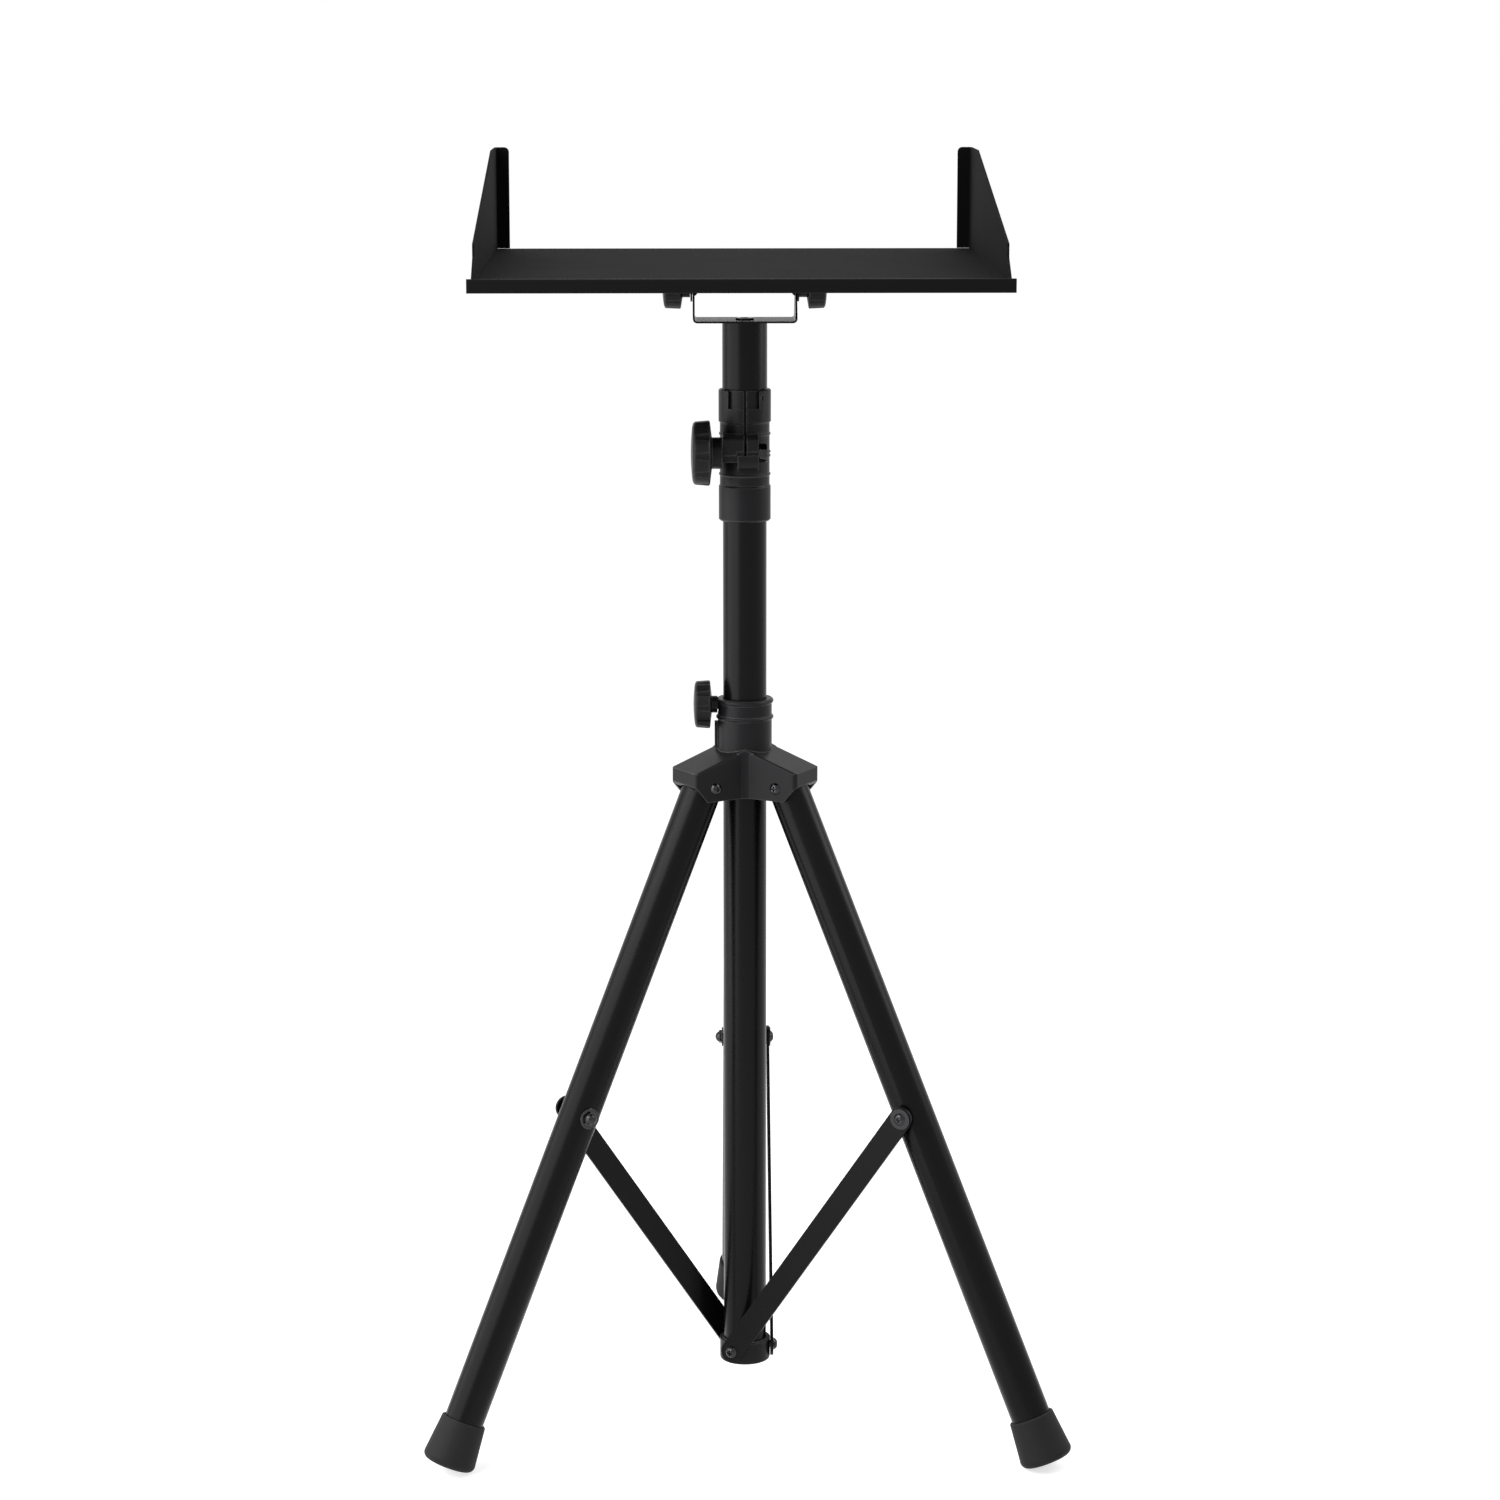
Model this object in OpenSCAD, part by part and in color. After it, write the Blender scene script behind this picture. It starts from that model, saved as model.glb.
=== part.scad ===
// Folding tripod stand with a tilting tray on a telescopic column.
// Floor at Z = 0, front of the tray towards -Y. The hub, column and tray share one upright axis.

/* [Tray] */
// Width of the tray across its side plates
tray_w = 400; // [340:1:460]
// Depth of the tray from front to back
tray_d = 400; // [340:1:440]
// Sheet thickness of the tray and its side plates
tray_t = 1.5; // [1:0.1:2.5]
// Depth of the turned-down edges under the tray
tray_rim = 7; // [5:0.5:10]
// Height of the side plates above the tray at the front
wing_front_h = 26; // [15:1:40]
// Height of the side plates above the tray at the back
wing_back_h = 84; // [60:1:110]
// Length of the level top edge at the back of each side plate
wing_level = 76; // [40:1:120]
// Set-back of each side plate's front edge
wing_setback = 24; // [10:1:40]
// Width of the foot of each side plate, under the tray
wing_foot = 18; // [12:1:30]
// Thickness of the front edge strip
lip_t = 5; // [3:0.5:8]
// Height of the front edge strip
lip_h = 10.5; // [9:0.5:16]
// How far the strip stands above the tray
lip_rise = 2; // [1:0.5:4]
// How far the strip reaches past each side
lip_over = 3.25; // [1:0.25:6]
// Width of the flange turned inwards at the back of each side plate
wing_flange = 12; // [6:0.5:30]
// Height of the step at the front of each side plate
wing_step = 10; // [4:0.5:12]
// Offset of the tray to the side of the column
tray_shift = -5.8; // [-10:0.1:10]

/* [Tilt bracket] */
// Outside width of the U bracket
fork_w = 82.4; // [70:0.2:95]
// Sheet thickness of both brackets
fork_t = 1.5; // [1.2:0.1:3]
// Length of the U bracket's base, front to back
fork_d = 46; // [40:1:60]
// Radius of the rounded top of each U bracket wall
fork_top_r = 11; // [9:0.5:13]
// Outside bend radius of both brackets
bend_r = 3.5; // [2.5:0.5:5]
// Height of the tilt axis above the socket tube
tilt_h = 24.4; // [22:0.2:34]
// Tilt axis to the underside of the tray
tilt_drop = 19.4; // [18:0.2:24]
// Length of the bracket under the tray, front to back
ear_d = 60; // [50:1:80]
// Radius of the rounded lower end of each ear
ear_r = 9; // [7:0.5:11]
// Radius of the tilt bolts
tilt_bolt_r = 3; // [2.5:0.5:4]
// Radius of the tilt bolts' round heads
tilt_head_r = 4.7; // [4:0.1:6]
// Radius of the tilt knobs
tilt_knob_r = 14.6; // [11:0.2:15]
// Thickness of the tilt knobs
tilt_knob_t = 14.5; // [9:0.5:16]
// Radius of the tilt knobs' necks
tilt_neck_r = 5.6; // [5:0.2:8]
// Length of the tilt knobs' necks
tilt_neck_l = 7.3; // [5:0.1:12]

/* [Poles] */
// Radius of the column tube
mast_r = 17.5; // [16:0.25:19]
// Wall of the column tube
mast_wall = 1.5; // [1.2:0.1:1.7]
// Length of the column tube
mast_len = 750.5; // [700:0.5:820]
// Wall of the inner pole
pole_wall = 1.2; // [1:0.1:2]
// Length of the inner pole inside the column
pole_in = 470; // [420:1:560]
// Radial clearance between the inner pole and the column
pole_gap = 0.3; // [0.2:0.05:0.5]
// Outside radius of the socket tube
socket_r = 17.9; // [17.5:0.1:19.5]
// Length of the socket tube
socket_len = 52.7; // [42:0.1:70]
// Thickness of the socket tube's closed top
socket_cap = 3; // [2:0.5:5]

/* [Clamp collar] */
// Radius of the collar's top band
band_r = 20.9; // [20.6:0.1:23]
// Radius of the collar between its bands
waist_r = 19.85; // [19.4:0.05:20.4]
// Length of collar below the column's end
collar_low = 50; // [44:1:60]
// Length of collar above the column's end
collar_high = 55; // [50:1:65]
// Height of the top band
band_top_h = 25.5; // [20:0.5:30]
// Height of the bottom band
band_low_h = 27.5; // [22:0.5:32]
// Width of the slit in the collar's front
slit_w = 2; // [1.5:0.25:3]
// Clamp axis in front of the column axis
clamp_y = 27; // [26:0.5:30]
// Clamp axis above the column's end
clamp_z = 6.8; // [4:0.1:12]
// Height of the clamp ears
lug_h = 27.5; // [24:0.5:30]
// Reach of the clamp ears in front of the clamp axis
lug_front = 7.5; // [6:0.5:10]
// Width of the clamp ears on the knob's side
lug_left = 18; // [14:0.5:20]
// Width of the clamp ears on the nut's side
lug_right = 10.5; // [8:0.5:14]
// Radius of the clamp bolt
clamp_bolt_r = 4; // [3:0.5:5]
// Radius of the clamp knob
clamp_knob_r = 25.8; // [20:0.1:30]
// Thickness of the clamp knob
clamp_knob_t = 15.2; // [10:0.2:18]
// Radius of the clamp knob's neck
clamp_neck_r = 12.5; // [9:0.5:14]
// Length of the clamp knob's neck
clamp_neck_l = 9.7; // [8:0.1:14]

/* [Hub] */
// Height of the leg pivots above the floor
hub_h = 537.5; // [500:0.5:580]
// Distance of the leg pivots from the column axis
pivot_r = 38.7; // [38:0.1:42]
// Reach of the hub's arms from the column axis
arm_end = 57.5; // [57:0.1:64]
// Half the width of each arm
arm_hw = 20; // [19.6:0.1:22]
// Wall of the arms' sides
arm_wall = 3; // [2.5:0.1:3.2]
// Wall of the arms' ends
arm_end_wall = 2.5; // [2:0.1:3]
// Thickness of the arms' roofs
roof_t = 3; // [2:0.1:3.2]
// Roof height above the leg pivots, at the end of an arm
roof_h = 13.5; // [13.4:0.1:18]
// Slope of the roofs in degrees
roof_slope = 18.6; // [12:0.1:22]
// Depth of the arms' sides below the leg pivots
arm_drop = 10.5; // [9:0.5:14]
// Corner radius of the arms' ends
arm_corner = 3.5; // [2:0.5:4]
// Rounding of the roofs' long edges
roof_edge = 2; // [1:0.25:2.5]
// Radius of the hollow between two arms
valley_r = 12; // [6:0.5:18]
// Outside radius of the hub's sleeve
sleeve_r = 21.85; // [21:0.05:24]
// Height of the sleeve's top above the leg pivots
sleeve_h = 68; // [60:0.5:80]
// Radius of the two rings on the sleeve
ring_r = 23.2; // [22.5:0.1:26]
// Height of the hub knob's axis above the leg pivots
hub_knob_z = 62.6; // [50:0.1:63]
// Radius of the hub knob
hub_knob_r = 19.4; // [15:0.2:24]
// Thickness of the hub knob
hub_knob_t = 13.5; // [9:0.1:16]
// Length of the hub knob's neck
hub_neck_l = 5.85; // [5:0.05:9]
// Width of the rib on the sleeve's side
rib_w = 4; // [2:0.5:8]
// Reach of the rib past the sleeve
rib_out = 2.6; // [1:0.1:4]
// Height of the rib
rib_h = 22; // [10:0.5:24]
// Radius of the hub knob's neck
hub_neck_r = 6.85; // [5:0.05:9]
// Radius of the hub knob's screw
hub_screw_r = 4; // [3:0.5:5]

/* [Legs] */
// Radius of the leg tubes
leg_r = 16; // [15:0.25:16.5]
// Wall of the leg tubes
leg_wall = 1.2; // [1:0.1:2]
// Angle between the legs and the column
leg_angle = 24.3; // [22:0.1:27]
// Leg tube above its pivot
leg_over = 6; // [5.5:0.1:6.2]
// Radius of the pivot bolts of the legs and braces
pin_r = 3; // [2.5:0.1:3.5]
// Radius of the bolts' round heads
pin_head_r = 4.8; // [4:0.1:6]
// Radius of the rubber feet at the floor
foot_r = 21.5; // [20:0.5:25]
// Radius of the rubber feet at the top
foot_top_r = 18.25; // [17.5:0.25:20]
// Length of the rubber feet
foot_len = 38; // [30:1:48]
// Rounding of the feet's lower edges
foot_edge = 5.5; // [2:0.5:6]
// Rubber below the end of each leg tube
foot_floor = 6; // [4:0.5:9]

/* [Braces] */
// Hub pivot to brace bolt, along the leg
brace_at = 282.5; // [260:0.5:310]
// Width of the flat brace bars
bar_w = 19; // [16:0.5:22]
// Thickness of the flat brace bars
bar_t = 2.5; // [2:0.1:4]
// Radius of the cap on the column's lower end
cap_r = 20.75; // [20.4:0.05:23]
// Height of the cap's underside above the floor
cap_low = 45.5; // [30:0.5:60]
// Height of the cap
cap_h = 19; // [18:0.5:32]
// Thickness of the cap's floor
cap_floor = 4; // [3:0.5:6]
// Height of the braces' pivots above the cap's underside
cap_pin_z = 11.5; // [11:0.5:14]

/* [Hidden] */
$fn = 64;

// Directions of the legs, seen from above
rear = 90;
left = 210;
right = 330;

// Gaps: a seated round face, a running pin, a face that slides past another
seat_gap = 0.15;
pin_gap = 0.1;
slide_gap = 0.3;

// Heights, from the floor up
mast_z0 = cap_low + cap_floor;
mast_z1 = mast_z0 + mast_len;
collar_z0 = mast_z1 - collar_low;
collar_z1 = mast_z1 + collar_high;
socket_z0 = collar_z1 + 1;
socket_z1 = socket_z0 + socket_len;
tilt_z = socket_z1 + tilt_h;
tray_z = tilt_z + tilt_drop;
tray_top = tray_z + tray_t;
pole_r = mast_r - mast_wall - pole_gap;
pole_z0 = mast_z1 - pole_in;
pole_z1 = socket_z1 - socket_cap - slide_gap;

// Legs: the lower edge of each tilted foot just touches the floor
foot_centre_z = (foot_r - foot_edge) * sin(leg_angle) - foot_edge * cos(leg_angle) + foot_edge;
leg_len = (hub_h - foot_centre_z) / cos(leg_angle);
foot_centre_r = pivot_r + leg_len * sin(leg_angle);
brace_r = pivot_r + brace_at * sin(leg_angle);
brace_z = hub_h - brace_at * cos(leg_angle);

// Braces: from the cap's pivots to the bolts on the legs
cap_pin_h = cap_low + cap_pin_z;
bar_y = cap_r + slide_gap;
brace_len = sqrt(pow(brace_r, 2) + pow(brace_z - cap_pin_h, 2));
brace_angle = atan2(brace_r, brace_z - cap_pin_h);

// The column axis stands forward of the middle of the whole stand's depth
back_reach = foot_centre_r + (foot_r - foot_edge) * cos(leg_angle) - foot_edge * sin(leg_angle) + foot_edge;
front_reach = tray_d / 2 + lip_t;
axis_y = (front_reach - back_reach) / 2;

module on_axis() { translate([0, axis_y, 0]) children(); }
module on_tray() { on_axis() translate([tray_shift, 0, 0]) children(); }
module leg_side(turn) { on_axis() rotate([0, 0, turn]) children(); }
module at_hub_pin() { translate([pivot_r, 0, hub_h]) children(); }
module along_leg() { at_hub_pin() rotate([0, 180 - leg_angle, 0]) children(); }
module across(length, radius) { rotate([90, 0, 0]) cylinder(h = length, r = radius, center = true); }

// A low round head, flat side at Z = 0
module dome_head(radius, height) {
  ball_r = (pow(radius, 2) + pow(height, 2)) / (2 * height);
  intersection() {
    translate([0, 0, height - ball_r]) sphere(r = ball_r, $fn = 48);
    cylinder(h = height, r = radius);
  }
}

// A knob with shallow finger hollows round its rim, neck first, pointing along +Z
module knob(radius, thick, neck_r, neck_l) {
  hollows = 10;
  hollow_r = radius * 0.24;
  hollow_depth = radius * 0.05;
  far_r = radius * 0.97;
  edge = radius * 0.11;
  dome = thick * 0.12;
  dome_r = (pow(radius, 2) + pow(dome, 2)) / (2 * dome);
  top = neck_l + thick;
  intersection() {
    rotate_extrude() {
      polygon([
        [0, 0], [neck_r, 0], [neck_r, neck_l - thick * 0.1], [radius * 0.96, neck_l],
        [radius, neck_l + radius * 0.04],
        [far_r, top - edge - dome], [far_r - edge, top - dome], [far_r - edge, top], [0, top]
      ]);
      translate([far_r - edge, top - edge - dome * 0.9]) circle(r = edge, $fn = 48);
    }
    translate([0, 0, top - dome_r]) sphere(r = dome_r, $fn = 96);
    difference() {
      translate([0, 0, -1]) cylinder(h = top + 2, r = radius + 1);
      for (i = [0 : hollows - 1])
        rotate([0, 0, (i + 0.5) * 360 / hollows]) translate([radius + hollow_r - hollow_depth, 0, -2])
          cylinder(h = top + 4, r = hollow_r, $fn = 32);
    }
  }
}

// A folded channel, flanges down, made of sheet with rounded bends; X across, extruded along Z
module channel_outline(width, flange, thick) {
  module bent(w, h, r) {
    union() {
      translate([-w / 2 + r, -r]) circle(r = r, $fn = 48);
      translate([w / 2 - r, -r]) circle(r = r, $fn = 48);
      translate([-w / 2 + r, -h]) square([w - 2 * r, h]);
      translate([-w / 2, -h]) square([w, h - r]);
    }
  }
  difference() {
    bent(width, flange, bend_r);
    translate([0, -thick]) bent(width - 2 * thick, flange, bend_r - thick);
  }
}

// Sheet tray with turned-down front and back edges
module tray_plate() color([0.05, 0.05, 0.05]) on_tray() {
  inner_w = tray_w - 2 * tray_t;
  translate([0, 0, tray_top]) rotate([0, 0, 90]) rotate([90, 0, 0])
    linear_extrude(inner_w, center = true) channel_outline(tray_d, tray_rim + tray_t, tray_t);
}

// Strip along the tray's front edge
module front_strip() color([0.03, 0.03, 0.03]) on_tray() {
  edge = 1.2;
  translate([0, -tray_d / 2 - lip_t / 2, tray_top + lip_rise - lip_h])
    rotate([90, 0, 90]) linear_extrude(tray_w + 2 * lip_over, center = true) {
      for (x = [-1, 1], y = [0, 1])
        translate([x * (lip_t / 2 - edge), y ? lip_h - edge : edge]) circle(r = edge, $fn = 32);
      translate([-lip_t / 2 + edge, 0]) square([lip_t - 2 * edge, lip_h]);
      translate([-lip_t / 2, edge]) square([lip_t, lip_h - 2 * edge]);
    }
}

// Side plate: low in front, rising to a level stretch, with a flange at the back and a foot under the tray
module wing() {
  low = tray_z - tray_rim;
  back = tray_d / 2;
  front_y = -back + wing_setback;
  round_r = 4;
  translate([tray_w / 2 - tray_t, 0, 0]) rotate([90, 0, 90]) linear_extrude(tray_t) {
    polygon([
      [-back, low], [back, low], [back, tray_top + wing_back_h - round_r],
      [back - round_r, tray_top + wing_back_h], [back - wing_level, tray_top + wing_back_h],
      [front_y, tray_top + wing_front_h], [front_y, tray_top + wing_front_h - wing_step],
      [-back, tray_top + lip_rise]
    ]);
    translate([back - round_r, tray_top + wing_back_h - round_r]) circle(r = round_r, $fn = 48);
  }
  translate([tray_w / 2 - tray_t - wing_foot, -back + 2 * bend_r, tray_z - tray_t])
    cube([wing_foot + tray_t / 2, tray_d - 4 * bend_r, tray_t]);
  translate([tray_w / 2 - wing_flange, back - tray_t, tray_top]) rotate([90, 0, 0]) mirror([0, 0, 1])
    linear_extrude(tray_t) {
      translate([round_r, wing_back_h - round_r]) circle(r = round_r, $fn = 48);
      translate([0, 0]) square([wing_flange, wing_back_h - round_r]);
      translate([round_r, 0]) square([wing_flange - round_r - tray_t / 2, wing_back_h]);
    }
}
module wing_right() color([0.04, 0.04, 0.04]) on_tray() wing();
module wing_left() color([0.04, 0.04, 0.04]) on_tray() mirror([1, 0, 0]) wing();

// Bracket under the tray; its ears stand outside the U bracket
ear_in = fork_w / 2 + slide_gap;
module tray_bracket() color([0.05, 0.05, 0.05]) on_axis() {
  width = 2 * (ear_in + fork_t);
  top = tray_z;
  difference() {
    intersection() {
      translate([0, 0, top]) rotate([90, 0, 0])
        linear_extrude(ear_d, center = true) channel_outline(width, top - tilt_z + ear_r + 1, fork_t);
      rotate([90, 0, 90]) linear_extrude(width + 2, center = true) {
        translate([0, tilt_z]) circle(r = ear_r);
        polygon([
          [-ear_r, tilt_z], [ear_r, tilt_z], [ear_d / 2, top - bend_r],
          [ear_d / 2, top + 1], [-ear_d / 2, top + 1], [-ear_d / 2, top - bend_r]
        ]);
      }
    }
    translate([0, 0, tilt_z]) rotate([0, 90, 0])
      cylinder(h = width + 2, r = tilt_bolt_r + pin_gap, center = true);
    for (x = [-1, 1], y = [-1, 1]) tray_bolt_at(x, y)
      cylinder(h = 2 * tilt_drop, r = tray_bolt_r + pin_gap, center = true);
  }
}

// Four flat bolts through tray and bracket
tray_bolt_r = 2;
tray_bolt_x = 28;
tray_bolt_y = 21;
module tray_bolt_at(x, y) { translate([x * tray_bolt_x, y * tray_bolt_y, tray_z]) children(); }
module tray_bolts() color([0.5, 0.5, 0.5]) on_axis()
  for (x = [-1, 1], y = [-1, 1]) tray_bolt_at(x, y) {
    translate([0, 0, -fork_t - 4]) cylinder(h = fork_t + 4, r = tray_bolt_r);
    translate([0, 0, -fork_t - 3.2]) cylinder(h = 3.2, r = 4, $fn = 6);
  }

// U bracket on the socket tube, open upwards
module tilt_fork() color([0.05, 0.05, 0.05]) on_axis() difference() {
  intersection() {
    translate([0, 0, socket_z1]) mirror([0, 0, 1]) rotate([90, 0, 0])
      linear_extrude(fork_d, center = true) channel_outline(fork_w, tilt_h + fork_top_r + 1, fork_t);
    rotate([90, 0, 90]) linear_extrude(fork_w + 2, center = true) {
      translate([0, tilt_z]) circle(r = fork_top_r);
      polygon([
        [-fork_d / 2, socket_z1 - 1], [fork_d / 2, socket_z1 - 1], [fork_d / 2, socket_z1 + bend_r],
        [fork_top_r, tilt_z], [-fork_top_r, tilt_z], [-fork_d / 2, socket_z1 + bend_r]
      ]);
    }
  }
  translate([0, 0, tilt_z]) rotate([0, 90, 0])
    cylinder(h = fork_w + 2, r = tilt_bolt_r + pin_gap, center = true);
  translate([0, 0, socket_z1 - 1]) cylinder(h = fork_t + 2, r = fork_bolt_r + pin_gap);
}

// Bolt that holds the U bracket on the socket tube's closed top
fork_bolt_r = 4;
module fork_bolt() color([0.4, 0.4, 0.4]) on_axis() {
  translate([0, 0, socket_z1 - socket_cap]) cylinder(h = socket_cap + fork_t, r = fork_bolt_r);
  translate([0, 0, socket_z1 + fork_t]) cylinder(h = 1.2, r = 7.5);
}

// Round-headed bolts through the U bracket, the ears and the tilt knobs
module tilt_bolt() {
  head = 3;
  inside = fork_w / 2 - fork_t;
  reach = ear_in + fork_t + tilt_neck_l + tilt_knob_t * 0.5;
  translate([inside, 0, tilt_z]) rotate([0, 90, 0]) {
    mirror([0, 0, 1]) dome_head(tilt_head_r, head);
    cylinder(h = reach - inside, r = tilt_bolt_r);
  }
}
module tilt_bolt_right() color([0.5, 0.5, 0.5]) on_axis() tilt_bolt();
module tilt_bolt_left() color([0.5, 0.5, 0.5]) on_axis() mirror([1, 0, 0]) tilt_bolt();

module tilt_knob() {
  translate([ear_in + fork_t + slide_gap, 0, tilt_z]) rotate([0, 90, 0]) difference() {
    knob(tilt_knob_r, tilt_knob_t, tilt_neck_r, tilt_neck_l);
    translate([0, 0, -1]) cylinder(h = tilt_neck_l + tilt_knob_t * 0.5 + 1.5, r = tilt_bolt_r + pin_gap);
  }
}
module tilt_knob_right() color([0.07, 0.07, 0.07]) on_axis() tilt_knob();
module tilt_knob_left() color([0.07, 0.07, 0.07]) on_axis() mirror([1, 0, 0]) tilt_knob();

// Tube that turns on the inner pole and carries the U bracket
module socket_tube() color([0.06, 0.06, 0.06]) on_axis() difference() {
  translate([0, 0, socket_z0]) cylinder(h = socket_len, r = socket_r);
  translate([0, 0, socket_z0 - 1]) cylinder(h = socket_len - socket_cap + 1, r = pole_r + pin_gap);
  translate([0, 0, socket_z0]) cylinder(h = socket_len + 1, r = fork_bolt_r + pin_gap);
}

module inner_pole() color([0.1, 0.1, 0.1]) on_axis() translate([0, 0, pole_z0]) difference() {
  cylinder(h = pole_z1 - pole_z0, r = pole_r);
  translate([0, 0, -1]) cylinder(h = pole_z1 - pole_z0 + 2, r = pole_r - pole_wall);
}

// Collar on the column's end: split in front, drawn together round the inner pole by its ears
module clamp_collar() color([0.08, 0.08, 0.08]) on_axis() {
  bead_r = 1.2;
  chamfer = 1.2;
  top_chamfer = 0.8;
  low_r = band_r - 0.15;
  low_shoulder = 1.5;
  top_shoulder = 1;
  beads = [-12.6, 2.1, 5.3, 19.6];
  lug_z = mast_z1 + clamp_z;
  lug_low = lug_z - lug_h / 2;
  step_z = lug_z - 1.5;
  step_h = 3;
  step_in = 2;
  step_x = 6;
  front_y = clamp_y + lug_front;
  round_r = 4;
  recess_x = -13.4;
  recess_w = 25;
  recess_down = 14.5;
  recess_in = 2.6;
  window_x = 13;
  window_down = 8;
  window = [3.2, 6.2, 4];
  difference() {
    union() {
      rotate_extrude() {
        polygon([
          [0, collar_z0], [low_r - chamfer, collar_z0], [low_r, collar_z0 + chamfer],
          [low_r, collar_z0 + band_low_h], [waist_r, collar_z0 + band_low_h + low_shoulder],
          [waist_r, collar_z1 - band_top_h - top_shoulder], [band_r, collar_z1 - band_top_h],
          [band_r, collar_z1 - top_chamfer], [band_r - top_chamfer, collar_z1], [0, collar_z1]
        ]);
        for (z = beads) translate([waist_r - 0.4, mast_z1 + z]) circle(r = bead_r, $fn = 32);
      }
      // Ears, rounded in front, with a lug below them on the nut's side
      translate([-lug_left, 0, 0]) rotate([90, 0, 90]) linear_extrude(lug_left + lug_right) {
        translate([-front_y + step_in, lug_z - clamp_bolt_r - 3]) square([front_y - step_in, clamp_bolt_r + 3]);
        translate([-front_y, step_z]) square([front_y, lug_h / 2 + lug_z - step_z - round_r]);
        translate([-front_y + round_r, step_z])
          square([front_y - round_r, lug_h / 2 + lug_z - step_z]);
        translate([-front_y + round_r, lug_z + lug_h / 2 - round_r]) circle(r = round_r, $fn = 48);
      }
      translate([-step_x, 0, 0]) rotate([90, 0, 90]) linear_extrude(step_x + lug_right) {
        translate([-front_y, lug_low + 2 * round_r]) square([front_y, step_z + 1 - lug_low - 2 * round_r]);
        translate([-front_y + 2 * round_r, lug_low]) square([front_y - 2 * round_r, lug_h / 2]);
        translate([-front_y + 2 * round_r, lug_low + 2 * round_r]) circle(r = 2 * round_r, $fn = 64);
      }
    }
    // Bores for the column and for the inner pole
    translate([0, 0, collar_z0 - 1]) cylinder(h = collar_low + 1, r = mast_r + seat_gap);
    translate([0, 0, mast_z1 - 1]) cylinder(h = collar_high + 2, r = pole_r + pole_gap);
    // Slit down to a groove across the ears
    translate([-slit_w / 2, -front_y - 1, step_z]) cube([slit_w, front_y + 1, collar_high]);
    translate([-step_x - 1, -front_y - 1, step_z])
      cube([step_x + lug_right + 2, step_in + 1, step_h]);
    // Recess in the top band, and a small square window beside it
    difference() {
      translate([recess_x, -band_r - 1, collar_z1 - recess_down])
        cube([recess_w, band_r + 1, recess_down + 1]);
      cylinder(h = 3 * collar_z1, r = band_r - recess_in, center = true);
    }
    translate([window_x, -band_r, collar_z1 - window_down]) cube(window);
    // Clamp bolt
    translate([-lug_left - 1, -clamp_y, lug_z]) rotate([0, 90, 0])
      cylinder(h = lug_left + lug_right + 2, r = clamp_bolt_r + pin_gap);
  }
}

// Bolt through the ears with its nut, and the knob that tightens it
module clamp_bolt() color([0.45, 0.45, 0.45]) on_axis()
  translate([lug_right, -clamp_y, mast_z1 + clamp_z]) rotate([0, 90, 0]) {
    cylinder(h = 6.5, r = 7.5, $fn = 6);
    translate([0, 0, -lug_right - lug_left - clamp_neck_l - 2])
      cylinder(h = lug_right + lug_left + clamp_neck_l + 4, r = clamp_bolt_r);
  }
module clamp_knob() color([0.08, 0.08, 0.08]) on_axis()
  translate([-lug_left - slide_gap, -clamp_y, mast_z1 + clamp_z]) rotate([0, -90, 0]) difference() {
    knob(clamp_knob_r, clamp_knob_t, clamp_neck_r, clamp_neck_l);
    translate([0, 0, -1]) cylinder(h = clamp_neck_l + 4, r = clamp_bolt_r + pin_gap);
  }

module mast_tube() color([0.1, 0.1, 0.1]) on_axis() difference() {
  translate([0, 0, mast_z0]) cylinder(h = mast_len, r = mast_r);
  translate([0, 0, mast_z0 - 1]) cylinder(h = mast_len + 2, r = mast_r - mast_wall);
  for (turn = [rear, left, right]) rotate([0, 0, turn]) at_cap_pin()
    rotate([90, 0, 0]) cylinder(h = 2 * mast_r, r = pin_r + pin_gap);
}

// Cap on the column's lower end; the braces turn on its sides
module at_cap_pin() { translate([0, 0, cap_pin_h]) children(); }
module mast_cap() color([0.05, 0.05, 0.05]) on_axis() {
  rim = 2;
  difference() {
    rotate_extrude() {
      translate([0, cap_low]) square([cap_r - rim, cap_h]);
      translate([0, cap_low + rim]) square([cap_r, cap_h - rim - 0.8]);
      translate([cap_r - rim, cap_low + rim]) circle(r = rim, $fn = 48);
    }
    translate([0, 0, mast_z0]) cylinder(h = cap_h, r = mast_r + seat_gap);
    for (turn = [rear, left, right]) rotate([0, 0, turn])
      at_cap_pin() rotate([90, 0, 0]) cylinder(h = 2 * cap_r, r = pin_r + pin_gap);
  }
}

// Screws that the braces turn on, at the cap
module cap_pin(turn) {
  outer = bar_y + bar_t + slide_gap;
  leg_side(turn) at_cap_pin() rotate([90, 0, 0]) {
    translate([0, 0, mast_r - mast_wall - 1]) cylinder(h = outer - mast_r + mast_wall + 1.5, r = pin_r);
    translate([0, 0, outer]) dome_head(pin_head_r + 0.4, 3.6);
  }
}
module cap_pin_rear() color([0.3, 0.3, 0.3]) cap_pin(rear);
module cap_pin_left() color([0.3, 0.3, 0.3]) cap_pin(left);
module cap_pin_right() color([0.3, 0.3, 0.3]) cap_pin(right);

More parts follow.
